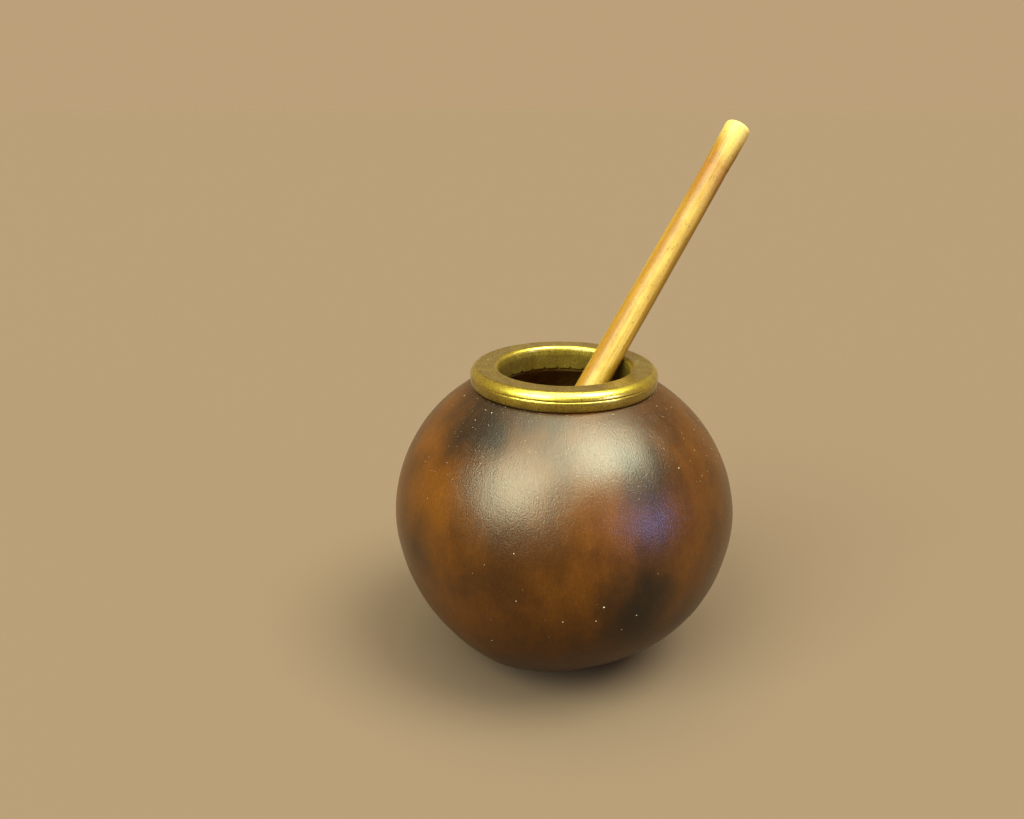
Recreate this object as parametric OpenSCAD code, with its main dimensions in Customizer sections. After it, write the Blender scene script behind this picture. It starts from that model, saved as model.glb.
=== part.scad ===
// Calabash cup: a hollowed gourd with a rolled brass rim and a cane straw leaning in it.
// Millimetres, +Z up. The origin is the centre of the flat spot the gourd rests on.

/* [Gourd] */
// Radius of the belly at its widest level
belly_r = 46; // [42:0.5:50]
// Height of the widest level above the resting spot
belly_z = 43.8; // [42:0.1:46]
// Share of the lower half's full depth that is left above the flat spot
flat_share = 0.97; // [0.95:0.005:0.98]
// Fullness of the lower half, where 2 is an ellipse
lower_power = 1.91; // [1.8:0.01:2.2]
// Height from the widest level to where the upper half would close
upper_rise = 42; // [41:0.5:44]
// Height of the cut edge that carries the rim
seat_z = 79.8; // [79:0.1:80.5]
// How far the belly stands to the right of its resting spot
belly_lean = 4.4; // [0:0.1:6]
// How far the neck comes back from the belly's centre
neck_back = 0.3; // [0:0.1:2]
// Swell of the belly's soft lobes, as a share of its radius
lobe_swell = 0.003; // [0:0.001:0.006]
// Thickness of the gourd's wall
wall = 4.5; // [3.5:0.1:5]
// Radius of the hole cut in the neck
neck_r = 18.25; // [18.2:0.05:18.8]

/* [Rim] */
// Outer radius of the brass rim
rim_r = 24.7; // [24.2:0.1:26]
// Height of the rim above its seat
rim_h = 5; // [4.8:0.1:6]
// Radius of the mouth inside the rim
mouth_r = 17.5; // [16.5:0.1:17.5]
// Radius of the roll along the outer shoulder
outer_roll = 2.3; // [1.8:0.1:2.3]
// Radius of the roll along the inner lip
inner_roll = 1.4; // [1:0.1:2]
// Height of the lower bead, up to the crease
bead_h = 2.7; // [2.2:0.05:2.8]
// Rounding of the lower bead's edges
bead_round = 0.6; // [0.3:0.05:0.9]
// Depth of the crease above the lower bead
crease_d = 0.3; // [0.1:0.05:0.5]
// Thickness of the sleeve that lines the neck
sleeve_t = 0.6; // [0.4:0.1:0.6]
// How far the sleeve reaches below the seat
sleeve_drop = 1.6; // [1:0.1:2]
// Number of crimped tabs round the sleeve's lower edge
tabs = 30; // [16:1:36]
// Radius of the scallop between two tabs
scallop_r = 0.8; // [0.4:0.1:1.2]

/* [Straw] */
// Length from the foot to where the straw leans on the rim
straw_dip = 80.8; // [60:0.1:80.8]
// Length from there to the tip
straw_reach = 69; // [40:1:80]
// Radius at the foot
straw_foot_r = 4.2; // [3.6:0.1:4.2]
// Radius at the tip
straw_tip_r = 3.5; // [3.2:0.1:3.8]
// Radius of the bore
bore_r = 2.2; // [1.5:0.1:2.4]
// Lean from upright
straw_lean = 33.5; // [30:0.5:33.5]
// Direction of the lean, counted from +X towards +Y
straw_turn = 30; // [20:1:40]
// Distance from the tip to the cane's node
node_from_tip = 13; // [10:1:30]
// How far the cane is drawn in at the node
node_pinch = 0.15; // [0:0.05:0.3]
// Gap between the straw and the lip it leans on
lean_gap = 0.1; // [0.05:0.05:0.3]

/* [Hidden] */
$fn = 96;
sides = 72;
lower_rings = 16;
upper_rings = 12;
inner_rings = 10;
lower_depth = belly_z / flat_share;
seat_rise = seat_z - belly_z;
neck_x = belly_lean - neck_back;
rim_top = seat_z + rim_h;
lip_r = mouth_r + inner_roll;
lip_z = rim_top - inner_roll;
shoulder_r = rim_r - outer_roll;
straw_len = straw_dip + straw_reach;

// Radius of a round form at a height: an upper ellipse over a lower half of its own fullness
function form_r(z, r, depth, rise) =
    z < belly_z
    ? r * pow(1 - pow((belly_z - z) / depth, lower_power), 1 / lower_power)
    : r * sqrt(1 - pow((z - belly_z) / rise, 2));

// Centre of the gourd's section at a height
function centre_x(z) =
    z < belly_z
    ? belly_lean * (1 - pow((belly_z - z) / belly_z, 4))
    : belly_lean - neck_back * pow((z - belly_z) / seat_rise, 2);

// Soft lobes round the belly, which fade out at the foot and the neck
function lobes(a, z) = 1 + lobe_swell * sin(180 * z / seat_z) * (cos(2 * a + 40) + 0.6 * cos(3 * a - 25));

// One closed ring of points round the gourd
function ring(z, r) = [
    for (i = [0 : sides - 1])
        let (a = 360 * i / sides, k = r * lobes(a, z))
            [centre_x(z) + k * cos(a), k * sin(a), z]
];

// Heights of the rings, closer together where the form turns in
function heights(low, high, depth, rise, rise_rings) = concat(
    [for (i = [0 : lower_rings]) belly_z - depth * sin(asin((belly_z - low) / depth) * (1 - i / lower_rings))],
    [for (i = [1 : rise_rings]) belly_z + rise * sin(asin((high - belly_z) / rise) * i / rise_rings)]
);

// Hollow gourd: outer skin up to the cut edge, then the inner skin down to the floor
module gourd() {
    inner_r = belly_r - wall;
    inner_depth = lower_depth - wall;
    inner_rise = upper_rise - wall;
    inner_top = belly_z + inner_rise * sqrt(1 - pow(neck_r / inner_r, 2));
    outer = [for (z = heights(0, seat_z, lower_depth, upper_rise, upper_rings))
        ring(z, form_r(z, belly_r, lower_depth, upper_rise))];
    inner = [for (z = heights(wall, inner_top, inner_depth, inner_rise, inner_rings))
        ring(z, form_r(z, inner_r, inner_depth, inner_rise))];
    neck = [for (i = [0 : sides - 1])
        [neck_x + neck_r * cos(360 * i / sides), neck_r * sin(360 * i / sides), seat_z]];
    rings = concat(outer, [neck], [for (i = [len(inner) - 1 : -1 : 0]) inner[i]]);
    last = len(rings) - 1;
    skin = [for (k = [0 : last - 1], i = [0 : sides - 1])
        let (j = (i + 1) % sides, a = k * sides, b = a + sides)
            each [[a + i, b + i, b + j], [a + i, b + j, a + j]]];
    foot_face = [for (i = [0 : sides - 1]) i];
    floor_face = [for (i = [sides - 1 : -1 : 0]) last * sides + i];
    color("#7A4210")
        polyhedron(points = [for (r = rings) each r], faces = concat(skin, [foot_face, floor_face]));
}

// Half section of the brass rim: two rolls over a beaded band, with the sleeve inside
module rim_section() {
    bead_inner = shoulder_r - 0.1;
    translate([shoulder_r, rim_top - outer_roll]) circle(outer_roll);
    translate([lip_r, lip_z]) circle(inner_roll);
    translate([lip_r, seat_z]) square([shoulder_r - lip_r, rim_h]);
    translate([mouth_r, seat_z - sleeve_drop]) square([sleeve_t, sleeve_drop + lip_z - seat_z]);
    translate([mouth_r, seat_z]) square([shoulder_r - mouth_r, lip_z - seat_z]);
    translate([bead_inner, seat_z]) square([rim_r - bead_round - bead_inner, bead_h]);
    translate([bead_inner, seat_z + bead_round]) square([rim_r - bead_inner, bead_h - 2 * bead_round]);
    for (z = [seat_z + bead_round, seat_z + bead_h - bead_round])
        translate([rim_r - bead_round, z]) circle(bead_round);
}

// Brass rim, its outside creased above the bead and its sleeve's edge scalloped into tabs
module rim() {
    color("#B59A3A")
        translate([neck_x, 0, 0])
            difference() {
                rotate_extrude()
                    difference() {
                        rim_section();
                        translate([rim_r, seat_z + bead_h]) circle(crease_d);
                    }
                for (i = [0 : tabs - 1])
                    rotate([0, 0, 360 * i / tabs])
                        translate([mouth_r - 1, 0, seat_z - sleeve_drop])
                            rotate([0, 90, 0])
                                cylinder(h = sleeve_t + 1.1, r = scallop_r);
            }
}

// Half section of the cane straw: tapered wall drawn in at the node, with a sanded round tip
module straw_section() {
    tip_round = straw_tip_r - bore_r;
    node_h = straw_len - node_from_tip;
    polygon([
        [bore_r, 0],
        [straw_foot_r, 0],
        [straw_tip_r - node_pinch, node_h],
        [straw_tip_r, node_h + 5],
        [straw_tip_r, straw_len - tip_round],
        [bore_r, straw_len - tip_round]
    ]);
    difference() {
        translate([bore_r, straw_len - tip_round]) circle(tip_round);
        translate([0, straw_len - 2 * tip_round]) square([bore_r, 2 * tip_round]);
    }
}

// Cane straw leaning on the rim's lip, its foot against the gourd's inner wall
module straw() {
    radius_at_lip = straw_foot_r + (straw_tip_r - straw_foot_r) * straw_dip / straw_len;
    stand_off = inner_roll + radius_at_lip + lean_gap;
    color("#D9A648")
        translate([neck_x, 0, 0])
            rotate([0, 0, straw_turn])
                translate([lip_r - stand_off * cos(straw_lean), 0, lip_z + stand_off * sin(straw_lean)])
                    rotate([0, straw_lean, 0])
                        translate([0, 0, -straw_dip])
                            rotate_extrude() straw_section();
}

gourd();
rim();
straw();
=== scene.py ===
import math
import random

import bpy
from mathutils import Euler, Matrix, Vector, noise


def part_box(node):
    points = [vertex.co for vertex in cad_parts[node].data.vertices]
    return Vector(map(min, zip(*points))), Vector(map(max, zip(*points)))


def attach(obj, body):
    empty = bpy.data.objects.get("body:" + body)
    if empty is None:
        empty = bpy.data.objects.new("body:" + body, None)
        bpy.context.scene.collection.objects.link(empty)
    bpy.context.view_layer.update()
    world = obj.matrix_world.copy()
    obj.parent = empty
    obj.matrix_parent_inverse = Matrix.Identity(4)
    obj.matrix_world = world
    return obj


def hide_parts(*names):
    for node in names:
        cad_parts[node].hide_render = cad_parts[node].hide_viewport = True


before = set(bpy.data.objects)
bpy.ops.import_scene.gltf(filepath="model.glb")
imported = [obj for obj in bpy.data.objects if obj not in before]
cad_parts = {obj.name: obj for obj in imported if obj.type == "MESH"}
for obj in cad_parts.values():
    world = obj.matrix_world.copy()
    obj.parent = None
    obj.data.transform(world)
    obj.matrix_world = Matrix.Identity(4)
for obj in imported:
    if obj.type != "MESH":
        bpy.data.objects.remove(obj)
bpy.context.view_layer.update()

gourdLow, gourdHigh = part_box("gourd")


# sRGB hex to the linear colour that shaders and lights take
def linearColour(hexText):
    parts = [int(hexText[i:i + 2], 16) / 255 for i in (1, 3, 5)]
    return tuple(c / 12.92 if c <= 0.04045 else ((c + 0.055) / 1.055) ** 2.4 for c in parts) + (1.0,)


# Texture scale whose features measure this many millimetres
def grainScale(millimetres):
    return 1000.0 / millimetres


# Smooth rise from 0 to 1, held at both ends
def smoothStep(x):
    x = max(0.0, min(1.0, x))
    return x * x * (3 - 2 * x)


# Adds one shader node with its settings, unlinked input values, links and colour stops
def addNode(tree, kind, inputs=None, links=None, stops=None, **settings):
    node = tree.nodes.new("ShaderNode" + kind)
    for name, value in settings.items():
        setattr(node, name, value)
    for name, value in (inputs or {}).items():
        node.inputs[name].default_value = value
    for name, source in (links or {}).items():
        tree.links.new(source, node.inputs[name])
    if stops:
        ramp = node.color_ramp
        while len(ramp.elements) < len(stops):
            ramp.elements.new(0.5)
        for element, (position, colour) in zip(ramp.elements, stops):
            element.position = position
            element.color = colour
    return node


def newMaterial(name):
    material = bpy.data.materials.new(name)
    material.use_nodes = True
    material.node_tree.nodes.clear()
    return material, material.node_tree


def meshPiece(name, points, faces, materials, faceMaterial=None):
    mesh = bpy.data.meshes.new(name)
    mesh.from_pydata(points, [], faces)
    for material in materials:
        mesh.materials.append(material)
    if faceMaterial:
        mesh.polygons.foreach_set("material_index", faceMaterial)
    mesh.polygons.foreach_set("use_smooth", [True] * len(mesh.polygons))
    mesh.update()
    piece = bpy.data.objects.new(name, mesh)
    bpy.context.scene.collection.objects.link(piece)
    return piece


# Quads between closed rings of the same count, each ring listed in turn
def ringFaces(ringCount, sides, closed=False):
    faces = []
    for k in range(ringCount if closed else ringCount - 1):
        a = k * sides
        b = (k + 1) % ringCount * sides
        for i in range(sides):
            j = (i + 1) % sides
            faces.append((a + i, a + j, b + j, b + i))
    return faces


gourdSizes = {  # millimetres, the same form as the CAD node
    "bellyRadius": 46.0,
    "bellyHeight": 43.8,
    "flatShare": 0.97,
    "lowerPower": 1.91,
    "upperRise": 42.0,
    "seatHeight": 79.8,
    "bellyLean": 4.4,
    "neckBack": 0.3,
    "lobeSwell": 0.003,
    "wall": 4.5,
    "neckRadius": 18.25,
    "cutEdge": 0.8,  # height of the neck's sawn edge
    "sides": 300,
    "outerRings": 170,
    "innerRings": 56,
    "unevenness": 0.16,  # height of the skin's natural unevenness
    "swellSize": 17.0,  # width of its broad swells
    "dimpleSize": 6.5,  # width of the smaller ones on them
    "footFade": 6.0,  # heights over which it dies out, at the foot and under the rim
    "neckFade": 8.0,
    "scrapeDepth": 0.25,  # marks of the scraper inside
    "scrapeSize": 7.0,
    "scrapeFade": 6.0,
    # soft hollows and swellings: azimuth, height, half width in degrees, half height, how far out
    "handShape": [
        (-60, 6, 34, 15, -0.65), (-118, 7, 30, 14, 0.4),
        (-140, 47, 9, 8, -0.18), (-100, 54, 14, 10, -0.12),
        (-62, 66, 12, 12, -0.15), (-20, 34, 22, 12, -0.15),
        (35, 50, 20, 16, -0.3), (75, 30, 16, 14, -0.25),
        (120, 58, 22, 14, -0.3), (165, 38, 18, 18, 0.2),
    ],
}


# Radius of the round form at a height: an upper ellipse over a fuller lower half
def formRadius(z, radius, depth, rise):
    s = gourdSizes
    if z < s["bellyHeight"]:
        share = min(1.0, (s["bellyHeight"] - z) / depth)
        return radius * (1 - share ** s["lowerPower"]) ** (1 / s["lowerPower"])
    return radius * math.sqrt(max(0.0, 1 - ((z - s["bellyHeight"]) / rise) ** 2))


# Where the middle of the gourd's section stands, since the gourd leans
def centreX(z):
    s = gourdSizes
    if z < s["bellyHeight"]:
        return s["bellyLean"] * (1 - ((s["bellyHeight"] - z) / s["bellyHeight"]) ** 4)
    climb = (z - s["bellyHeight"]) / (s["seatHeight"] - s["bellyHeight"])
    return s["bellyLean"] - s["neckBack"] * climb ** 2


# Soft lobes round the belly, which fade out at the foot and the neck
def lobes(angle, z):
    s = gourdSizes
    wave = math.cos(2 * angle + math.radians(40)) + 0.6 * math.cos(3 * angle - math.radians(25))
    return 1 + s["lobeSwell"] * math.sin(math.pi * z / s["seatHeight"]) * wave


# Heights of the rings, closer together where the form turns in
def ringHeights(low, high, depth, rise, count):
    middle = gourdSizes["bellyHeight"]
    start = -math.asin((middle - low) / depth)
    end = math.asin((high - middle) / rise)
    heights = []
    for i in range(count + 1):
        t = start + (end - start) * i / count
        heights.append(middle + (depth if t < 0 else rise) * math.sin(t))
    return heights


# How far the skin stands out at a place, above the even form
def unevenness(angle, z, point):
    s = gourdSizes
    fade = smoothStep(z / s["footFade"]) * smoothStep((s["seatHeight"] + 1 - z) / s["neckFade"])
    swells = noise.noise(point / s["swellSize"]) + 0.4 * noise.noise(point / s["dimpleSize"])
    height = s["unevenness"] * swells * fade
    for azimuth, level, spread, tall, depth in s["handShape"]:
        turn = (math.degrees(angle) - azimuth + 180) % 360 - 180
        away = math.hypot(turn / spread, (z - level) / tall)
        if away < 1:
            height += depth * smoothStep(1 - away) * smoothStep(z / 2.5)
    return height


def outerPoint(angle, z):
    s = gourdSizes
    depth = s["bellyHeight"] / s["flatShare"]
    r = formRadius(z, s["bellyRadius"], depth, s["upperRise"]) * lobes(angle, z)
    return Vector((centreX(z) + r * math.cos(angle), r * math.sin(angle), z))


# Point of the finished outer skin and its outward direction, in millimetres
def skinPoint(angle, z):
    here = outerPoint(angle, z)
    low = outerPoint(angle, max(0.0, z - 0.2))
    high = outerPoint(angle, min(gourdSizes["seatHeight"], z + 0.2))
    side = outerPoint(angle + 0.01, z)
    out = (side - here).cross(high - low).normalized()
    return here + out * unevenness(angle, z, here), out


def gourdShell():
    s = gourdSizes
    depth = s["bellyHeight"] / s["flatShare"]
    sides = s["sides"]
    innerRadius = s["bellyRadius"] - s["wall"]
    innerDepth = depth - s["wall"]
    innerRise = s["upperRise"] - s["wall"]
    innerTop = s["bellyHeight"] + innerRise * math.sqrt(1 - (s["neckRadius"] / innerRadius) ** 2)
    angles = [2 * math.pi * i / sides for i in range(sides)]
    points = []
    for z in ringHeights(0, s["seatHeight"], depth, s["upperRise"], s["outerRings"]):
        for angle in angles:
            points.append(skinPoint(angle, z)[0] / 1000)
    outerCount = s["outerRings"] + 1
    neckX = s["bellyLean"] - s["neckBack"]
    for z in (s["seatHeight"], s["seatHeight"] - s["cutEdge"]):
        for angle in angles:
            points.append(Vector((neckX + s["neckRadius"] * math.cos(angle),
                                  s["neckRadius"] * math.sin(angle), z)) / 1000)
    innerHeights = ringHeights(s["wall"], innerTop, innerDepth, innerRise, s["innerRings"])
    for z in reversed(innerHeights):
        r = formRadius(z, innerRadius, innerDepth, innerRise)
        for angle in angles:
            place = Vector((centreX(z) + r * math.cos(angle), r * math.sin(angle), z))
            scrape = s["scrapeDepth"] * noise.noise(place / s["scrapeSize"])
            deep = r + scrape * smoothStep((innerTop - z) / s["scrapeFade"])
            points.append(Vector((centreX(z) + deep * math.cos(angle), deep * math.sin(angle), z)) / 1000)
    ringCount = outerCount + 2 + len(innerHeights)
    faces = ringFaces(ringCount, sides)
    inside = [0 if i < outerCount * sides else 1 for i in range(len(faces))]
    faces.append(tuple(reversed(range(sides))))  # foot
    faces.append(tuple(range((ringCount - 1) * sides, ringCount * sides)))  # floor inside
    inside += [0, 1]
    return meshPiece("gourdShell", points, faces, [calabashSkin(), stainedPulp()], inside)


# Calabash rind, cured over smoke and polished with a thin lacquer. The eye sees amber and brown
# clouds with smoky patches under a soft, slightly fibrous shine.
calabashFinish = {
    "amber": "#4E2900",
    "brown": "#351900",
    "deep": "#220E00",
    "smoke": "#090604",
    "sheen": "#FFFAF2",  # tint of the lacquer's reflection
    "ior": 1.48,
    "roughness": 0.28,
    "wornHeights": (22.0, 48.0),  # millimetres; the lacquer is worn thin below these
    "wornShine": 0.16,
    # sizes of the colour's clouds and mottling and of the skin's fibres and pores, in millimetres;
    # real fibres and pores are finer and are drawn this coarse so that they show
    "cloudSize": 21.0,
    "mottleWidth": 8.0,
    "mottleLength": 24.0,
    "fibreWidth": 0.38,
    "fibreLength": 1.5,
    "fibreDepth": 0.055,
    "poreSize": 0.38,
    "poreDepth": 0.065,
    "edgeSize": 13.0,  # noise that pushes the patches' edges about
    "edgePush": (10.0, 10.0, 12.0),
    "patchDepth": 30.0,  # how deep a patch's ball reaches through the skin
    "patchCore": 0.2,  # share of a patch that has its full strength
    "amberLift": 0.26,  # how far an amber patch lifts the tone
    "footShadeHeights": (52.0, 8.0),  # painted shade: the colour darkens from the first of these down to the second
    "paintedFootShade": 0.12,
    "scuffHeight": 2.5,
    "scuff": 0.3,
    # azimuth in degrees, height, half width and half height in millimetres, strength
    "smokePatches": [
        (-134, 76, 20, 10, 1.0), (-112, 79, 16, 7, 0.6),
        (-58, 67, 12, 14, 0.8), (-62, 54, 12, 22, 0.6), (-65, 37, 13, 22, 0.95),
        (-141, 47, 9, 14, 0.45), (-104, 53, 16, 10, 0.15), (-112, 42, 14, 14, 0.15),
        (-40, 22, 24, 20, 0.45), (-46, 76, 14, 8, 0.4), (-90, 8, 26, 12, 0.25),
        (6, 40, 16, 28, 0.6), (38, 66, 24, 16, 0.7), (66, 34, 18, 26, 0.65),
        (98, 72, 18, 12, 0.7), (118, 46, 16, 24, 0.6), (150, 28, 24, 20, 0.6), (172, 66, 18, 15, 0.5),
    ],
    "amberPatches": [
        (-140, 59, 15, 18, 1.0), (-124, 42, 22, 20, 0.2), (-129, 28, 24, 20, 0.4),
        (-80, 62, 15, 14, 0.7), (-86, 46, 20, 16, 0.2), (-102, 67, 20, 13, 0.3),
        (-33, 52, 16, 20, 0.25), (-48, 50, 11, 16, 0.3), (-155, 71, 16, 12, 0.5), (-16, 68, 20, 14, 0.5),
        (30, 50, 18, 22, 0.6), (85, 55, 20, 18, 0.6), (140, 58, 20, 18, 0.8), (-178, 45, 20, 22, 0.7),
    ],
}


# Strongest of the soft patches at each place, each one a stretched ball centred on the skin
def patchField(tree, position, patches):
    s = gourdSizes
    f = calabashFinish
    depth = s["bellyHeight"] / s["flatShare"]
    total = None
    for azimuth, height, halfWidth, halfHeight, strength in patches:
        angle = math.radians(azimuth)
        r = formRadius(height, s["bellyRadius"], depth, s["upperRise"])
        centre = Vector((centreX(height) + r * math.cos(angle), r * math.sin(angle), height)) / 1000
        local = addNode(tree, "Mapping", vector_type="TEXTURE", links={"Vector": position},
                        inputs={"Location": centre, "Rotation": (0, 0, angle),
                                "Scale": (f["patchDepth"] / 1000, halfWidth / 1000, halfHeight / 1000)})
        ball = addNode(tree, "TexGradient", gradient_type="SPHERICAL", links={"Vector": local.outputs[0]})
        soft = addNode(tree, "MapRange", interpolation_type="SMOOTHSTEP", links={"Value": ball.outputs[1]},
                       inputs={"From Max": 1 - f["patchCore"], "To Max": strength}).outputs[0]
        if total is None:
            total = soft
        else:
            total = addNode(tree, "Math", operation="MAXIMUM", links={0: total, 1: soft}).outputs[0]
    return total


def calabashSkin():
    f = calabashFinish
    material, tree = newMaterial("smokedCalabash")
    position = addNode(tree, "TexCoord").outputs["Object"]
    # the patches are read at places pushed about by noise, which gives them natural edges
    push = addNode(tree, "TexNoise", links={"Vector": position},
                   inputs={"Scale": grainScale(f["edgeSize"]), "Detail": 3.0, "Roughness": 0.55})
    centred = addNode(tree, "VectorMath", operation="SUBTRACT", links={0: push.outputs["Color"]},
                      inputs={1: (0.5, 0.5, 0.5)})
    shifted = addNode(tree, "VectorMath", operation="MULTIPLY_ADD",
                      links={0: centred.outputs[0], 2: position},
                      inputs={1: [reach / 1000 for reach in f["edgePush"]]}).outputs[0]
    smoke = patchField(tree, shifted, f["smokePatches"])
    amber = patchField(tree, shifted, f["amberPatches"])

    # coordinates that run round the belly and along its meridians, in metres of skin
    axis = addNode(tree, "VectorMath", operation="SUBTRACT", links={0: position},
                   inputs={1: (gourdSizes["bellyLean"] / 1000, 0, gourdSizes["bellyHeight"] / 1000)})
    parts = addNode(tree, "SeparateXYZ", links={0: axis.outputs[0]})
    flat = addNode(tree, "CombineXYZ", links={0: parts.outputs[0], 1: parts.outputs[1]})
    outward = addNode(tree, "VectorMath", operation="LENGTH", links={0: flat.outputs[0]})
    rise = addNode(tree, "Math", operation="ARCTAN2",
                   links={0: parts.outputs[2], 1: outward.outputs["Value"]})
    ringed = addNode(tree, "VectorMath", operation="NORMALIZE", links={0: flat.outputs[0]})
    ringParts = addNode(tree, "SeparateXYZ", links={0: ringed.outputs[0]})
    meridian = addNode(tree, "CombineXYZ", links={0: ringParts.outputs[0], 1: ringParts.outputs[1],
                                                  2: rise.outputs[0]})
    belly = gourdSizes["bellyRadius"] / 1000
    skinMap = addNode(tree, "VectorMath", operation="SCALE", links={0: meridian.outputs[0]},
                      inputs={"Scale": belly}).outputs[0]

    cloud = addNode(tree, "TexNoise", links={"Vector": shifted},
                    inputs={"Scale": grainScale(f["cloudSize"]), "Detail": 4.0, "Roughness": 0.6})
    mottleMap = addNode(tree, "Mapping", links={"Vector": skinMap},
                        inputs={"Scale": (1, 1, f["mottleWidth"] / f["mottleLength"])})
    mottle = addNode(tree, "TexNoise", links={"Vector": mottleMap.outputs[0]},
                     inputs={"Scale": grainScale(f["mottleWidth"]), "Detail": 5.0, "Roughness": 0.62,
                             "Distortion": 0.4})
    mottleShare = addNode(tree, "Math", operation="MULTIPLY", links={0: mottle.outputs[0]}, inputs={1: 0.4})
    tone = addNode(tree, "Math", operation="MULTIPLY_ADD", inputs={1: 0.6},
                   links={0: cloud.outputs[0], 2: mottleShare.outputs[0]})
    amberTone = addNode(tree, "Math", operation="MULTIPLY_ADD", inputs={1: f["amberLift"]},
                        links={0: amber, 2: tone.outputs[0]})
    base = addNode(tree, "ValToRGB", links={0: amberTone.outputs[0]},
                   stops=[(0.22, linearColour(f["deep"])), (0.50, linearColour(f["brown"])),
                          (0.80, linearColour(f["amber"]))])
    height = addNode(tree, "SeparateXYZ", links={0: position})
    # painted shade: the colour is darkened towards the foot
    low = addNode(tree, "MapRange", interpolation_type="SMOOTHSTEP", links={"Value": height.outputs[2]},
                  inputs={"From Min": f["footShadeHeights"][0] / 1000, "From Max": f["footShadeHeights"][1] / 1000,
                          "To Max": f["paintedFootShade"]})
    footShaded = addNode(tree, "Mix", data_type="RGBA", links={0: low.outputs[0], 6: base.outputs[0]},
                     inputs={7: linearColour(f["deep"])})
    thinned = addNode(tree, "MapRange", links={"Value": mottle.outputs[0]},
                      inputs={"From Min": 0.3, "From Max": 0.62, "To Min": 1.0, "To Max": 0.72})
    smokeShare = addNode(tree, "Math", operation="MULTIPLY", links={0: smoke, 1: thinned.outputs[0]})
    smoked = addNode(tree, "Mix", data_type="RGBA", links={0: smokeShare.outputs[0], 6: footShaded.outputs[2]},
                     inputs={7: linearColour(f["smoke"])})
    # pores and short fibres darken and lighten the skin a little
    fibreMap = addNode(tree, "Mapping", links={"Vector": skinMap},
                       inputs={"Scale": (1, 1, f["fibreWidth"] / f["fibreLength"])})
    fibre = addNode(tree, "TexNoise", links={"Vector": fibreMap.outputs[0]},
                    inputs={"Scale": grainScale(f["fibreWidth"]), "Detail": 3.0, "Roughness": 0.6,
                            "Distortion": 0.6})
    pore = addNode(tree, "TexNoise", links={"Vector": position},
                   inputs={"Scale": grainScale(f["poreSize"]), "Detail": 2.0, "Roughness": 0.7})
    grain = addNode(tree, "Math", operation="ADD", links={0: fibre.outputs[0], 1: pore.outputs[0]})
    shade = addNode(tree, "MapRange", links={"Value": grain.outputs[0]},
                    inputs={"From Min": 0.7, "From Max": 1.3, "To Min": 0.78, "To Max": 1.22})
    colour = addNode(tree, "VectorMath", operation="SCALE",
                     links={0: smoked.outputs[2], "Scale": shade.outputs[0]})
    # lacquer: a little duller over the light clouds and scuffed at the very foot
    scuff = addNode(tree, "MapRange", links={"Value": height.outputs[2]},
                    inputs={"From Min": f["scuffHeight"] / 1000, "From Max": 0.0, "To Max": f["scuff"]})
    dull = addNode(tree, "MapRange", links={"Value": tone.outputs[0]},
                   inputs={"From Min": 0.3, "From Max": 0.7, "To Min": f["roughness"] - 0.03,
                           "To Max": f["roughness"] + 0.05})
    rough = addNode(tree, "Math", operation="ADD", links={0: dull.outputs[0], 1: scuff.outputs[0]})
    worn = addNode(tree, "MapRange", interpolation_type="SMOOTHSTEP", links={"Value": height.outputs[2]},
                   inputs={"From Min": f["wornHeights"][0] / 1000, "From Max": f["wornHeights"][1] / 1000,
                           "To Min": f["wornShine"], "To Max": 0.5})
    fibreBump = addNode(tree, "Bump", links={"Height": fibre.outputs[0]},
                        inputs={"Strength": 1.0, "Distance": f["fibreDepth"] / 1000})
    skinBump = addNode(tree, "Bump", links={"Height": pore.outputs[0], "Normal": fibreBump.outputs[0]},
                       inputs={"Strength": 1.0, "Distance": f["poreDepth"] / 1000})
    shader = addNode(tree, "BsdfPrincipled",
                     links={"Base Color": colour.outputs[0], "Roughness": rough.outputs[0],
                            "Normal": skinBump.outputs[0], "Specular IOR Level": worn.outputs[0]},
                     inputs={"IOR": f["ior"], "Specular Tint": linearColour(f["sheen"])})
    addNode(tree, "OutputMaterial", links={"Surface": shader.outputs[0]})
    return material


# Dried pulp side of the rind, scraped and stained by brewed herb: brown, matt and rough
pulpFinish = {
    "stain": "#7A5620",
    "pale": "#98743A",
    "roughness": 0.82,
    "scrapeSize": 3.0,
    "scrapeDepth": 0.4,
}


def stainedPulp():
    f = pulpFinish
    material, tree = newMaterial("stainedPulp")
    position = addNode(tree, "TexCoord").outputs["Object"]
    scrape = addNode(tree, "TexNoise", links={"Vector": position},
                     inputs={"Scale": grainScale(f["scrapeSize"]), "Detail": 6.0, "Roughness": 0.65})
    colour = addNode(tree, "ValToRGB", links={0: scrape.outputs[0]},
                     stops=[(0.42, linearColour(f["stain"])), (0.72, linearColour(f["pale"]))])
    bump = addNode(tree, "Bump", links={"Height": scrape.outputs[0]},
                   inputs={"Strength": 1.0, "Distance": f["scrapeDepth"] / 1000})
    shader = addNode(tree, "BsdfPrincipled",
                     links={"Base Color": colour.outputs[0], "Normal": bump.outputs[0]},
                     inputs={"Roughness": f["roughness"], "Specular IOR Level": 0.3})
    addNode(tree, "OutputMaterial", links={"Surface": shader.outputs[0]})
    return material


rimSizes = {  # millimetres
    "axisX": 4.1,
    "outerRadius": 24.7,
    "seatHeight": 79.8,
    "height": 5.0,
    "mouthRadius": 17.5,
    "outerRoll": 2.3,
    "innerRoll": 1.4,
    "beadHeight": 2.7,
    "beadRound": 0.6,
    "beadCrown": 0.1,  # the bead's face is faintly crowned
    "landDish": 0.07,  # and the top land faintly dished
    "creaseDepth": 0.28,
    "creaseHalf": 0.26,
    "sleeveThickness": 0.6,
    "sleeveDrop": 1.6,
    "tabs": 30,
    "sidesPerTab": 16,
    "tabSeed": 11,
    "tabDrop": (-0.18, 0.22),  # how much shorter or longer a tab may be
    "scallop": 0.42,
    "scallopReach": 1.2,
    "pleatDepth": 0.11,
    "wobble": 0.05,  # hand-worked unevenness across and up
    "wave": 0.03,
}


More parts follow.
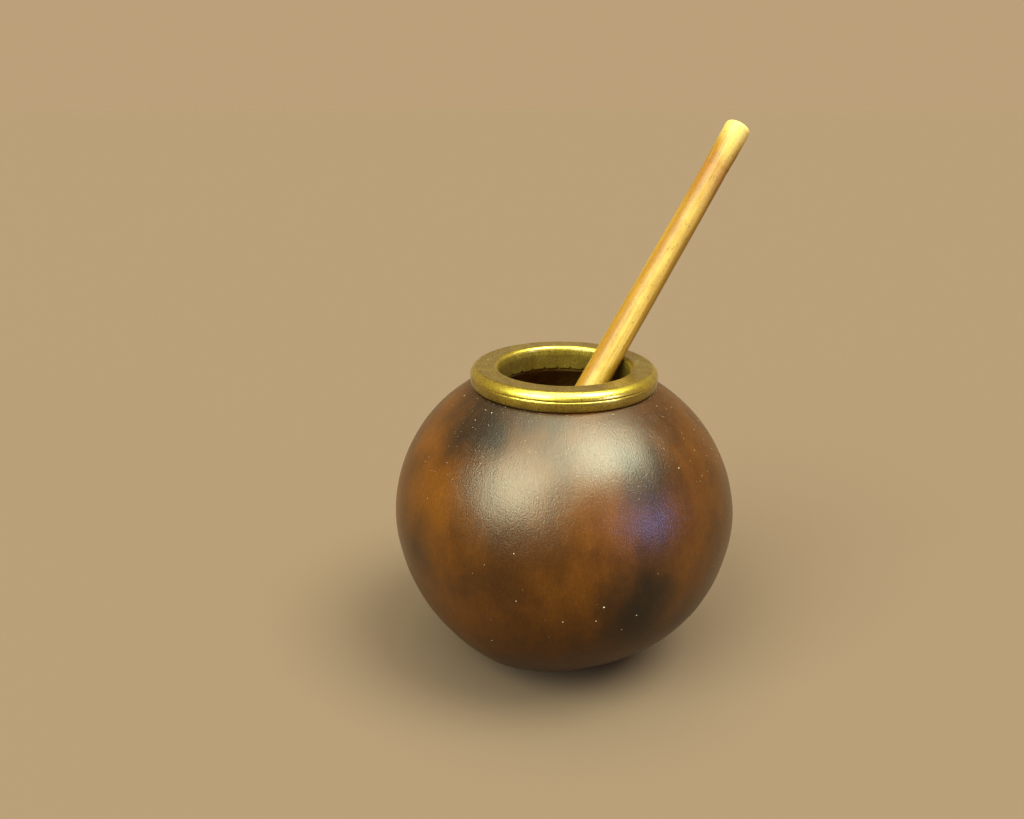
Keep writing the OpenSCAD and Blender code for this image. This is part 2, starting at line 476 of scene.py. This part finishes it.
# Half section of the rim, from the sleeve's lower edge up the mouth, over the top and down to the seat.
# Each entry is radius, height and how far it belongs to the sleeve's hem, 0 to 1.
def rimSection():
    s = rimSizes
    top = s["seatHeight"] + s["height"]
    lipRadius = s["mouthRadius"] + s["innerRoll"]
    lipHeight = top - s["innerRoll"]
    shoulder = s["outerRadius"] - s["outerRoll"]
    hem = s["seatHeight"] - s["sleeveDrop"]
    crease = s["seatHeight"] + s["beadHeight"]
    section = []
    for i in range(14):  # inside of the sleeve
        t = i / 13
        section.append((s["mouthRadius"], hem + t * (lipHeight - hem), 1 - smoothStep(t * 1.6)))
    for i in range(1, 17):  # inner roll
        a = math.radians(180 - 90 * i / 16)
        section.append((lipRadius + s["innerRoll"] * math.cos(a),
                        lipHeight + s["innerRoll"] * math.sin(a), 0))
    for i in range(1, 12):  # top land between the rolls
        t = i / 12
        section.append((lipRadius + (shoulder - lipRadius) * t,
                        top - s["landDish"] * math.sin(math.pi * t), 0))
    lowest = math.degrees(math.asin(s["creaseHalf"] / s["outerRoll"]))
    for i in range(29):  # outer roll
        a = math.radians(90 - (90 - lowest) * i / 28)
        section.append((shoulder + s["outerRoll"] * math.cos(a),
                        top - s["outerRoll"] + s["outerRoll"] * math.sin(a), 0))
    for i in range(1, 8):  # rounded crease
        t = i / 8
        section.append((s["outerRadius"] - s["creaseDepth"] * math.sin(math.pi * t) ** 0.8,
                        crease + s["creaseHalf"] * (1 - 2 * t), 0))
    beadTop = crease - s["creaseHalf"]
    beadLow = s["seatHeight"] + s["beadRound"]
    for i in range(10):  # face of the bead
        t = i / 9
        section.append((s["outerRadius"] - s["beadCrown"] * (2 * t - 1) ** 2,
                        beadTop + (beadLow - beadTop) * t, 0))
    for i in range(1, 9):  # its rounded lower edge
        a = math.radians(90 * i / 8)
        section.append((s["outerRadius"] - s["beadCrown"] - s["beadRound"] * (1 - math.cos(a)),
                        beadLow - s["beadRound"] * math.sin(a), 0))
    beadFoot = s["outerRadius"] - s["beadCrown"] - s["beadRound"]
    back = s["mouthRadius"] + s["sleeveThickness"]
    for i in range(1, 6):  # seat on the gourd's cut edge
        t = i / 5
        section.append((beadFoot + (back - beadFoot) * t, s["seatHeight"], 0))
    for i in range(1, 5):  # outside of the sleeve
        t = i / 4
        section.append((back, s["seatHeight"] + (hem - s["seatHeight"]) * t, t))
    return section


def brassRim():
    s = rimSizes
    sides = s["tabs"] * s["sidesPerTab"]
    rng = random.Random(s["tabSeed"])
    tabDrop = [rng.uniform(*s["tabDrop"]) for _ in range(s["tabs"])]
    tabTilt = [rng.uniform(-1, 1) for _ in range(s["tabs"])]
    hem = s["seatHeight"] - s["sleeveDrop"]
    points = []
    section = rimSection()
    for radius, z, hemShare in section:
        for i in range(sides):
            angle = 2 * math.pi * i / sides
            place = Vector((math.cos(angle) * 3, math.sin(angle) * 3, z / 6))
            r = radius + s["wobble"] * noise.noise(place * 1.3) * (1 - hemShare)
            if hemShare > 0:
                tab = i // s["sidesPerTab"]
                across = i % s["sidesPerTab"] / s["sidesPerTab"]  # 0 at one slit between tabs, 1 at the next
                arc = min(across, 1 - across) * 2 * math.pi * s["mouthRadius"] / s["tabs"]
                cut = math.sqrt(max(0.0, s["scallop"] ** 2 - arc ** 2))
                cut *= 1.0 if z < hem + s["scallopReach"] else 0.5
                drop = tabDrop[tab] * math.sin(math.pi * across)
                level = z + hemShare * (cut + drop * 0.6)
                fold = math.sin(math.pi * across) + 0.6 * tabTilt[tab] * math.sin(2 * math.pi * across)
                r += hemShare * (0.05 - 0.6 * s["pleatDepth"] * fold)
            else:
                level = z + s["wave"] * noise.noise(place * 0.9 + Vector((9, 0, 0)))
            points.append(Vector((s["axisX"] + r * math.cos(angle), r * math.sin(angle), level)) / 1000)
    # the section runs up the mouth and outwards, so the faces are turned over to look out
    faces = [tuple(reversed(f)) for f in ringFaces(len(section), sides, closed=True)]
    return meshPiece("brassRim", points, faces, [wornBrass()])


# Spun brass under the last of a thin lacquer: greenish gold with fine turning lines, dulled to olive where
# nobody polishes it and speckled with tarnish. The olive on the flat of the top is a painted reflection.
brassFinish = {
    "bright": "#D2BE48",
    "olive": "#8E7830",
    "dark": "#5A461C",
    "roughness": 0.30,
    "tarnishRoughness": 0.44,
    "tarnishSize": 4.0,  # millimetres, as are the next four
    "lineWidth": 0.22,  # real turning lines are finer and are drawn this coarse so that they show
    "lineDepth": 0.008,
    "speckSize": 0.3,
    "speckDepth": 0.012,
    # shares of tarnish: in patches, in specks, below the crease, down inside the mouth; share of painted
    # reflection on the top land
    "patchTarnish": 0.24,
    "speckTarnish": 0.6,
    "beadTarnish": 0.3,
    "mouthTarnish": 0.42,
    "paintedTopReflection": 0.3,
    "mouthDulling": 0.3,  # extra roughness down inside the mouth
    "lacquer": 0.5,
    "lacquerRoughness": 0.12,
}


def wornBrass():
    f = brassFinish
    s = rimSizes
    material, tree = newMaterial("wornBrass")
    position = addNode(tree, "TexCoord").outputs["Object"]
    axis = addNode(tree, "VectorMath", operation="SUBTRACT", links={0: position},
                   inputs={1: (s["axisX"] / 1000, 0, 0)})
    parts = addNode(tree, "SeparateXYZ", links={0: axis.outputs[0]})
    flat = addNode(tree, "CombineXYZ", links={0: parts.outputs[0], 1: parts.outputs[1]})
    outward = addNode(tree, "VectorMath", operation="LENGTH", links={0: flat.outputs[0]})
    turned = addNode(tree, "CombineXYZ", links={0: outward.outputs["Value"], 1: parts.outputs[2]})
    # turning lines: noise that changes across the section and hardly at all round it
    spread = addNode(tree, "VectorMath", operation="MULTIPLY_ADD", inputs={1: (0.012, 0.012, 0.012)},
                     links={0: axis.outputs[0], 2: turned.outputs[0]})
    lines = addNode(tree, "TexNoise", links={"Vector": spread.outputs[0]},
                    inputs={"Scale": grainScale(f["lineWidth"]), "Detail": 2.0, "Roughness": 0.6})
    tarnish = addNode(tree, "TexNoise", links={"Vector": position},
                      inputs={"Scale": grainScale(f["tarnishSize"]), "Detail": 5.0, "Roughness": 0.62})
    speck = addNode(tree, "TexNoise", links={"Vector": position},
                    inputs={"Scale": grainScale(f["speckSize"]), "Detail": 2.0, "Roughness": 0.8})
    # olive grows in the crease, below it and down inside the mouth; on the flat of the top it is a painted
    # reflection
    crease = (s["seatHeight"] + s["beadHeight"]) / 1000
    mouthEdge = {"From Min": (s["mouthRadius"] + 0.5) / 1000, "From Max": (s["mouthRadius"] + 0.1) / 1000}
    below = addNode(tree, "MapRange", interpolation_type="SMOOTHSTEP", links={"Value": parts.outputs[2]},
                    inputs={"From Min": crease + 0.0005, "From Max": crease - 0.0006,
                            "To Max": f["beadTarnish"]})
    inward = addNode(tree, "MapRange", interpolation_type="SMOOTHSTEP",
                     links={"Value": outward.outputs["Value"]},
                     inputs={**mouthEdge, "To Max": f["mouthTarnish"]})
    # painted reflection: the flat of the top is darkened towards olive
    land = addNode(tree, "MapRange", interpolation_type="SMOOTHSTEP", links={"Value": parts.outputs[2]},
                   inputs={"From Min": (s["seatHeight"] + s["height"] - 0.35) / 1000,
                           "From Max": (s["seatHeight"] + s["height"] - 0.05) / 1000,
                           "To Max": f["paintedTopReflection"]})
    place = addNode(tree, "Math", operation="ADD", links={0: below.outputs[0], 1: inward.outputs[0]})
    place = addNode(tree, "Math", operation="ADD", links={0: place.outputs[0], 1: land.outputs[0]})
    patchy = addNode(tree, "MapRange", links={"Value": tarnish.outputs[0]},
                     inputs={"From Min": 0.36, "From Max": 0.70, "To Max": f["patchTarnish"]})
    dots = addNode(tree, "MapRange", links={"Value": speck.outputs[0]},
                   inputs={"From Min": 0.50, "From Max": 0.64, "To Max": f["speckTarnish"]})
    soiled = addNode(tree, "Math", operation="ADD", links={0: place.outputs[0], 1: patchy.outputs[0]})
    soiled = addNode(tree, "Math", operation="ADD", use_clamp=True,
                     links={0: soiled.outputs[0], 1: dots.outputs[0]})
    colour = addNode(tree, "ValToRGB", links={0: soiled.outputs[0]},
                     stops=[(0.05, linearColour(f["bright"])), (0.55, linearColour(f["olive"])),
                            (1.0, linearColour(f["dark"]))])
    rough = addNode(tree, "MapRange", links={"Value": soiled.outputs[0]},
                    inputs={"To Min": f["roughness"], "To Max": f["tarnishRoughness"]})
    dulled = addNode(tree, "MapRange", interpolation_type="SMOOTHSTEP",
                     links={"Value": outward.outputs["Value"]},
                     inputs={**mouthEdge, "To Max": f["mouthDulling"]})
    rough = addNode(tree, "Math", operation="ADD", links={0: rough.outputs[0], 1: dulled.outputs[0]})
    lineBump = addNode(tree, "Bump", links={"Height": lines.outputs[0]},
                       inputs={"Strength": 1.0, "Distance": f["lineDepth"] / 1000})
    bump = addNode(tree, "Bump", links={"Height": speck.outputs[0], "Normal": lineBump.outputs[0]},
                   inputs={"Strength": 1.0, "Distance": f["speckDepth"] / 1000})
    shader = addNode(tree, "BsdfPrincipled",
                     links={"Base Color": colour.outputs[0], "Roughness": rough.outputs[0],
                            "Normal": bump.outputs[0]},
                     inputs={"Metallic": 1.0, "Coat Weight": f["lacquer"],
                             "Coat Roughness": f["lacquerRoughness"]})
    addNode(tree, "OutputMaterial", links={"Surface": shader.outputs[0]})
    return material


strawSizes = {  # millimetres and degrees
    "dip": 80.8,
    "reach": 69.0,
    "footRadius": 4.2,
    "tipRadius": 3.5,
    "boreRadius": 2.2,
    "lean": 33.5,
    "turn": 30.0,
    "nodeFromTip": 13.0,
    "nodePinch": 0.15,
    "leanGap": 0.1,
    "bend": 0.35,  # how far the tip bends off the axis, and from where
    "bendFrom": 118.0,
    "footBreak": 0.45,  # width and height of the foot's broken edge
    "footStep": 0.5,
    "oval": 0.035,
    "ribs": 0.022,
    "waves": 0.05,
    "scar": 0.05,  # ridge and groove at the node
    "sides": 96,
    "rings": 260,
    "tipRings": 12,
    "boreRings": 60,
}


# The straw's own axes, leaning on the rim's inner lip: z runs from its foot to its tip
def strawPlace():
    s = strawSizes
    r = rimSizes
    length = s["dip"] + s["reach"]
    lean = math.radians(s["lean"])
    turn = math.radians(s["turn"])
    lipRadius = r["mouthRadius"] + r["innerRoll"]
    lipHeight = r["seatHeight"] + r["height"] - r["innerRoll"]
    radiusAtLip = s["footRadius"] + (s["tipRadius"] - s["footRadius"]) * s["dip"] / length
    standOff = r["innerRoll"] + radiusAtLip + s["leanGap"]
    touch = (lipRadius - standOff * math.cos(lean), 0, lipHeight + standOff * math.sin(lean))
    return (Matrix.Translation((r["axisX"], 0, 0)) @ Matrix.Rotation(turn, 4, "Z")
            @ Matrix.Translation(touch) @ Matrix.Rotation(lean, 4, "Y")
            @ Matrix.Translation((0, 0, -s["dip"])))


# Outer radius at a distance from the foot: a slow taper, drawn in at the node
def caneRadius(along):
    s = strawSizes
    length = s["dip"] + s["reach"]
    node = length - s["nodeFromTip"]
    low = s["tipRadius"] - s["nodePinch"]
    if along < node:
        radius = s["footRadius"] + (low - s["footRadius"]) * along / node
    else:
        radius = low + (s["tipRadius"] - low) * smoothStep((along - node) / 6)
    ridge = math.exp(-((along - node - 0.9) / 0.5) ** 2)
    groove = math.exp(-((along - node) / 0.4) ** 2)
    return radius + s["scar"] * (ridge - groove)


def caneStraw():
    s = strawSizes
    length = s["dip"] + s["reach"]
    tipRound = s["tipRadius"] - s["boreRadius"]
    # each ring is its distance along, its radius and its share of surface unevenness
    rings = [(0.0, (s["footRadius"] + s["boreRadius"]) / 2, 0.0),
             (0.0, s["footRadius"] - s["footBreak"], 1.0)]  # cut foot
    for i in range(s["rings"] + 1):
        along = s["footStep"] + (length - tipRound - s["footStep"]) * i / s["rings"]
        rings.append((along, caneRadius(along), 1.0))
    for i in range(1, s["tipRings"] + 1):  # sanded round tip
        share = i / s["tipRings"]
        a = math.radians(90 * share)
        rings.append((length - tipRound * (1 - math.sin(a)),
                      s["boreRadius"] + tipRound * math.cos(a), 1 - share))
    for i in range(1, s["boreRings"] + 1):  # bore, back down to just above the foot
        rings.append((length - (length - 0.02) * i / s["boreRings"], s["boreRadius"], 0.0))
    place = strawPlace()
    points = []
    for along, radius, share in rings:
        bend = s["bend"] * max(0.0, (along - s["bendFrom"]) / (length - s["bendFrom"])) ** 2
        for i in range(s["sides"]):
            angle = 2 * math.pi * i / s["sides"]
            spot = Vector((math.cos(angle) * 1.1, math.sin(angle) * 1.1, along / 16))
            fine = Vector((math.cos(angle) * 4.5, math.sin(angle) * 4.5, along / 40))
            oval = s["oval"] * math.cos(2 * angle + 0.7 + along / 90)
            r = radius + share * (oval + s["ribs"] * noise.noise(fine) + s["waves"] * noise.noise(spot))
            local = Vector((r * math.cos(angle) - bend, r * math.sin(angle), along))
            points.append((place @ local) / 1000)
    faces = ringFaces(len(rings), s["sides"], closed=True)
    return meshPiece("caneStraw", points, faces, [driedCane()])


# River cane, peeled, dried and sanded smooth: straw gold with lengthwise fibres, a soft waxy shine and
# a red-brown blush where a leaf grew from its node.
caneFinish = {
    "pale": "#A08240",
    "gold": "#846016",
    "brown": "#744C0C",
    "tip": "#B69C58",
    "node": "#744214",
    "nodeShare": 0.55,
    "tipShare": 0.85,
    "brewed": "#5A3812",  # stain on the part that stands in the brew
    "brewedShare": 0.75,
    "brewedHeights": (55.0, 20.0),
    "ior": 1.4,
    "roughness": 0.46,
    "paintedHighlightSide": -110.0,  # painted highlight: degrees round the cane of one of three paler sides
    "paintedHighlightSides": 3.0,
    "paintedHighlightShare": 0.12,
    # sizes in millimetres; real fibres are finer and are drawn this coarse so that they show
    "blotchSize": 9.0,
    "streakWidth": 0.9,
    "streakLength": 45.0,
    "fibreWidth": 0.25,
    "fibreLength": 9.0,
    "fibreDepth": 0.02,
    "pitWidth": 0.3,
    "pitLength": 0.8,
}


def driedCane():
    f = caneFinish
    s = strawSizes
    material, tree = newMaterial("driedCane")
    place = strawPlace()
    position = addNode(tree, "TexCoord").outputs["Object"]
    local = addNode(tree, "Mapping", vector_type="TEXTURE", links={"Vector": position},
                    inputs={"Location": place.translation / 1000, "Rotation": place.to_euler()}).outputs[0]
    streakMap = addNode(tree, "Mapping", links={"Vector": local},
                        inputs={"Scale": (1, 1, f["streakWidth"] / f["streakLength"])})
    streak = addNode(tree, "TexNoise", links={"Vector": streakMap.outputs[0]},
                     inputs={"Scale": grainScale(f["streakWidth"]), "Detail": 4.0, "Roughness": 0.6,
                             "Distortion": 0.3})
    fibreMap = addNode(tree, "Mapping", links={"Vector": local},
                       inputs={"Scale": (1, 1, f["fibreWidth"] / f["fibreLength"])})
    fibre = addNode(tree, "TexNoise", links={"Vector": fibreMap.outputs[0]},
                    inputs={"Scale": grainScale(f["fibreWidth"]), "Detail": 2.0, "Roughness": 0.6})
    blotch = addNode(tree, "TexNoise", links={"Vector": local},
                     inputs={"Scale": grainScale(f["blotchSize"]), "Detail": 4.0, "Roughness": 0.6})
    blotchShare = addNode(tree, "Math", operation="MULTIPLY", links={0: blotch.outputs[0]}, inputs={1: 0.25})
    tone = addNode(tree, "Math", operation="MULTIPLY_ADD", inputs={1: 0.4},
                   links={0: streak.outputs[0], 2: blotchShare.outputs[0]})
    parts = addNode(tree, "SeparateXYZ", links={0: local})
    # painted highlight: the tone is lifted along three sides of the cane, one of them where the shine falls
    around = addNode(tree, "Math", operation="ARCTAN2", links={0: parts.outputs[1], 1: parts.outputs[0]})
    uneven = addNode(tree, "Math", operation="MULTIPLY_ADD", inputs={1: 0.8},
                     links={0: blotch.outputs[0], 2: around.outputs[0]})
    turned = addNode(tree, "Math", operation="MULTIPLY_ADD", links={0: uneven.outputs[0]},
                     inputs={1: f["paintedHighlightSides"], 2: -f["paintedHighlightSides"] * (math.radians(f["paintedHighlightSide"]) + 0.4)})
    sides = addNode(tree, "Math", operation="COSINE", links={0: turned.outputs[0]})
    paintedHighlightTone = addNode(tree, "Math", operation="MULTIPLY_ADD", inputs={1: f["paintedHighlightShare"]},
                       links={0: sides.outputs[0], 2: tone.outputs[0]})
    colour = addNode(tree, "ValToRGB", links={0: paintedHighlightTone.outputs[0]},
                     stops=[(0.17, linearColour(f["brown"])), (0.32, linearColour(f["gold"])),
                            (0.48, linearColour(f["pale"]))])
    length = (s["dip"] + s["reach"]) / 1000
    node = length - s["nodeFromTip"] / 1000
    ragged = addNode(tree, "Math", operation="MULTIPLY_ADD", inputs={1: 0.012},
                     links={0: streak.outputs[0], 2: parts.outputs[2]})
    # the blush is strongest just above the node and trails away below it
    under = addNode(tree, "MapRange", interpolation_type="SMOOTHSTEP", links={"Value": ragged.outputs[0]},
                    inputs={"From Min": node - 0.009, "From Max": node + 0.006, "To Max": 1.0})
    over = addNode(tree, "MapRange", interpolation_type="SMOOTHSTEP", links={"Value": ragged.outputs[0]},
                   inputs={"From Min": node + 0.0125, "From Max": node + 0.006, "To Max": 1.0})
    blush = addNode(tree, "Math", operation="MULTIPLY", links={0: under.outputs[0], 1: over.outputs[0]})
    blushShare = addNode(tree, "Math", operation="MULTIPLY", links={0: blush.outputs[0]},
                         inputs={1: f["nodeShare"]})
    noded = addNode(tree, "Mix", data_type="RGBA", links={0: blushShare.outputs[0], 6: colour.outputs[0]},
                    inputs={7: linearColour(f["node"])})
    tip = addNode(tree, "MapRange", interpolation_type="SMOOTHSTEP", links={"Value": parts.outputs[2]},
                  inputs={"From Min": length - 0.008, "From Max": length - 0.001, "To Max": f["tipShare"]})
    tipped = addNode(tree, "Mix", data_type="RGBA", links={0: tip.outputs[0], 6: noded.outputs[2]},
                     inputs={7: linearColour(f["tip"])})
    wet = addNode(tree, "MapRange", interpolation_type="SMOOTHSTEP", links={"Value": parts.outputs[2]},
                  inputs={"From Min": f["brewedHeights"][0] / 1000, "From Max": f["brewedHeights"][1] / 1000,
                          "To Max": f["brewedShare"]})
    stained = addNode(tree, "Mix", data_type="RGBA", links={0: wet.outputs[0], 6: tipped.outputs[2]},
                      inputs={7: linearColour(f["brewed"])})
    shade = addNode(tree, "MapRange", links={"Value": fibre.outputs[0]},
                    inputs={"From Min": 0.35, "From Max": 0.65, "To Min": 0.88, "To Max": 1.08})
    # open pores left by sanding
    pitMap = addNode(tree, "Mapping", links={"Vector": local},
                     inputs={"Scale": (1, 1, f["pitWidth"] / f["pitLength"])})
    pit = addNode(tree, "TexNoise", links={"Vector": pitMap.outputs[0]},
                  inputs={"Scale": grainScale(f["pitWidth"]), "Detail": 1.0, "Roughness": 0.5})
    pitted = addNode(tree, "MapRange", links={"Value": pit.outputs[0]},
                     inputs={"From Min": 0.62, "From Max": 0.72, "To Min": 1.0, "To Max": 0.45})
    shade = addNode(tree, "Math", operation="MULTIPLY", links={0: shade.outputs[0], 1: pitted.outputs[0]})
    final = addNode(tree, "VectorMath", operation="SCALE",
                    links={0: stained.outputs[2], "Scale": shade.outputs[0]})
    rough = addNode(tree, "MapRange", links={"Value": streak.outputs[0]},
                    inputs={"To Min": f["roughness"] - 0.05, "To Max": f["roughness"] + 0.1})
    bump = addNode(tree, "Bump", links={"Height": fibre.outputs[0]},
                   inputs={"Strength": 1.0, "Distance": f["fibreDepth"] / 1000})
    shader = addNode(tree, "BsdfPrincipled",
                     links={"Base Color": final.outputs[0], "Roughness": rough.outputs[0],
                            "Normal": bump.outputs[0]},
                     inputs={"IOR": f["ior"]})
    addNode(tree, "OutputMaterial", links={"Surface": shader.outputs[0]})
    return material


dustAmount = {
    "seed": 5,
    "shoulder": 700,  # specks lying on the upper gourd, thickest close under the rim
    "shoulderTop": 79.5,  # and how far down they reach, in millimetres
    "shoulderDepth": 17.0,
    "drifts": [(-150, -98), (-48, 5), (40, 80), (150, 170)],  # azimuths where more of them lie
    "belly": 40,  # specks that cling to its sides, all small
    "bellyHeights": (14, 60),
    "bellyLargest": 0.08,
    "rim": 150,
    "rimBand": (18.6, 22.8),  # radii of the top land
    "smallest": 0.04,  # radius of a speck in millimetres
    "largest": 0.11,
    # larger specks: azimuth in degrees, height and radius in millimetres
    "placed": [
        (-77, 39, 0.22), (-137, 76, 0.2), (-43, 67, 0.2), (-103, 40, 0.18), (-1, 70, 0.18),
        (-114, 24, 0.16), (-17, 71, 0.16), (-89, 35, 0.15), (-79, 35, 0.14), (-104, 52, 0.14),
        (-117, 45, 0.13), (-131, 78, 0.16), (-164, 78, 0.17), (-113, 48, 0.12), (-66, 35, 0.13),
        (-70, 31, 0.12), (-122, 69, 0.13), (-150, 79, 0.14), (-28, 78, 0.14), (-140, 58, 0.12),
    ],
}


# Five corners round a speck's foot and its peak
speckShape = [(1, 0, 0.1), (0.3, 0.9, 0.2), (-0.8, 0.6, 0), (-0.9, -0.5, 0.2), (0.2, -1, 0), (0.1, 0, 0.8)]


def dustSpecks():
    d = dustAmount
    rng = random.Random(d["seed"])
    spots = [(skinPoint(math.radians(a), z), r) for a, z, r in d["placed"]]
    for k in range(d["shoulder"]):
        z = d["shoulderTop"] - d["shoulderDepth"] * rng.random() ** 2.6
        low, high = rng.choice(d["drifts"]) if k % 3 else (-180, 180)
        azimuth = math.radians(rng.uniform(low, high))
        radius = d["smallest"] + (d["largest"] - d["smallest"]) * rng.random() ** 2
        spots.append((skinPoint(azimuth, z), radius))
    for _ in range(d["belly"]):
        z = rng.uniform(*d["bellyHeights"])
        spot = skinPoint(rng.uniform(-math.pi, math.pi), z)
        spots.append((spot, rng.uniform(d["smallest"], d["bellyLargest"])))
    top = rimSizes["seatHeight"] + rimSizes["height"]
    for _ in range(d["rim"]):
        angle = rng.uniform(-math.pi, math.pi)
        r = rng.uniform(*d["rimBand"])
        spot = Vector((rimSizes["axisX"] + r * math.cos(angle), r * math.sin(angle), top - 0.04))
        spots.append(((spot, Vector((0, 0, 1))), rng.uniform(d["smallest"], d["largest"])))
    points = []
    faces = []
    for (place, out), radius in spots:
        turn = out.to_track_quat("Z", "Y").to_matrix() @ Matrix.Rotation(rng.uniform(0, 6.28), 3, "Z")
        long = rng.uniform(0.7, 1.5)
        start = len(points)
        for x, y, z in speckShape:
            jitter = rng.uniform(0.75, 1.2)
            local = Vector((x * long, y, z * 0.8)) * radius * jitter
            points.append((place + turn @ local) / 1000)
        ring = [start + k for k in range(5)]
        faces += [(ring[k], ring[(k + 1) % 5], start + 5) for k in range(5)]
        faces.append(tuple(reversed(ring)))
    return meshPiece("dustSpecks", points, faces, [paleDust()])


# House dust and lint: pale, matt crumbs whose grey changes a little from place to place
dustFinish = {"dark": "#8E806A", "pale": "#BEB4A0", "roughness": 0.9, "toneSize": 2.0}


def paleDust():
    f = dustFinish
    material, tree = newMaterial("paleDust")
    position = addNode(tree, "TexCoord").outputs["Object"]
    vary = addNode(tree, "TexNoise", links={"Vector": position}, inputs={"Scale": grainScale(f["toneSize"])})
    colour = addNode(tree, "ValToRGB", links={0: vary.outputs[0]},
                     stops=[(0.3, linearColour(f["dark"])), (0.7, linearColour(f["pale"]))])
    shader = addNode(tree, "BsdfPrincipled", links={"Base Color": colour.outputs[0]},
                     inputs={"Roughness": f["roughness"]})
    addNode(tree, "OutputMaterial", links={"Surface": shader.outputs[0]})
    return material


# Matt paper floor, whose colour is set so that in these lights it shows as the world behind it does.
# A change to the lights or the world needs a new floor colour.
stageSetup = {
    "floorColour": "#5B4B40",
    "floorRadius": 8.0,  # metres
    "floorSides": 96,
    "worldColour": "#FFDAA8",
    "worldStrength": 0.50,
}

# Far soft lights: azimuth counted from the front towards the right, elevation and width in degrees,
# strength, colour
lightSetup = {
    "overheadLight": (12, 76, 68, 6.2, "#F4FFE0"),
    "leftLight": (-39, 38, 42, 6.4, "#F0FFE0"),
    "rightLight": (63, 60, 32, 5.4, "#F4FFE0"),
    "blueAccent": (58, 12, 14, 1.2, "#A0AAFF"),
}

# Lens in millimetres, distances in metres, angles in degrees
cameraSetup = {
    "lens": 31.64,
    "sensorWidth": 36.0,
    "clipStart": 0.01,
    "distance": 0.2522,
    "elevation": 25.33,
    "aimHeight": 0.045,
    "pitchDown": 19.548,
    "yawLeft": 3.532,
}


def paperFloor():
    sides = stageSetup["floorSides"]
    points = []
    for i in range(sides):
        angle = 2 * math.pi * i / sides
        points.append(stageSetup["floorRadius"] * Vector((math.cos(angle), math.sin(angle), 0)))
    material, tree = newMaterial("palePaper")
    shader = addNode(tree, "BsdfPrincipled", inputs={"Base Color": linearColour(stageSetup["floorColour"]),
                                                     "Roughness": 0.9, "Specular IOR Level": 0.0})
    addNode(tree, "OutputMaterial", links={"Surface": shader.outputs[0]})
    meshPiece("paperFloor", points, [tuple(range(sides))], [material])


def softWorld():
    world = bpy.data.worlds.new("softWorld")
    world.use_nodes = True
    tree = world.node_tree
    tree.nodes.clear()
    glow = addNode(tree, "Background", inputs={"Color": linearColour(stageSetup["worldColour"]),
                                               "Strength": stageSetup["worldStrength"]})
    addNode(tree, "OutputWorld", links={"Surface": glow.outputs[0]})
    bpy.context.scene.world = world


def softLights():
    for name, (azimuth, elevation, width, strength, colour) in lightSetup.items():
        lamp = bpy.data.lights.new(name, "SUN")
        lamp.angle = math.radians(width)
        lamp.energy = strength
        lamp.color = linearColour(colour)[:3]
        light = bpy.data.objects.new(name, lamp)
        a = math.radians(azimuth)
        e = math.radians(elevation)
        away = Vector((math.sin(a) * math.cos(e), -math.cos(a) * math.cos(e), math.sin(e)))
        light.location = away
        light.rotation_euler = away.to_track_quat("Z", "Y").to_euler()
        bpy.context.scene.collection.objects.link(light)


def makeCamera(centre):
    c = cameraSetup
    lens = bpy.data.cameras.new("camera")
    lens.lens = c["lens"]
    lens.sensor_width = c["sensorWidth"]
    lens.clip_start = c["clipStart"]
    camera = bpy.data.objects.new("camera", lens)
    e = math.radians(c["elevation"])
    camera.location = Vector((centre.x, centre.y - c["distance"] * math.cos(e),
                              c["aimHeight"] + c["distance"] * math.sin(e)))
    camera.rotation_euler = Euler((math.radians(90 - c["pitchDown"]), 0, math.radians(c["yawLeft"])))
    bpy.context.scene.collection.objects.link(camera)
    bpy.context.scene.camera = camera


gourdCentre = (gourdLow + gourdHigh) / 2
gourdCentre.y = 0.0
makeCamera(gourdCentre)
paperFloor()
softWorld()
softLights()
bpy.context.scene.view_settings.view_transform = "Standard"  # colours show as the materials give them
print("stage, lights and camera set")

gourd = gourdShell()
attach(gourd, "root")
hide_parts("gourd")
print("gourd made,", len(gourd.data.polygons), "faces")

rim = brassRim()
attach(rim, "root")
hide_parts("rim")
print("rim made,", len(rim.data.polygons), "faces")

straw = caneStraw()
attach(straw, "root")
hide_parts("straw")
print("straw made,", len(straw.data.polygons), "faces")

dust = dustSpecks()
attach(dust, "root")
print("dust made,", len(dust.data.polygons), "faces")
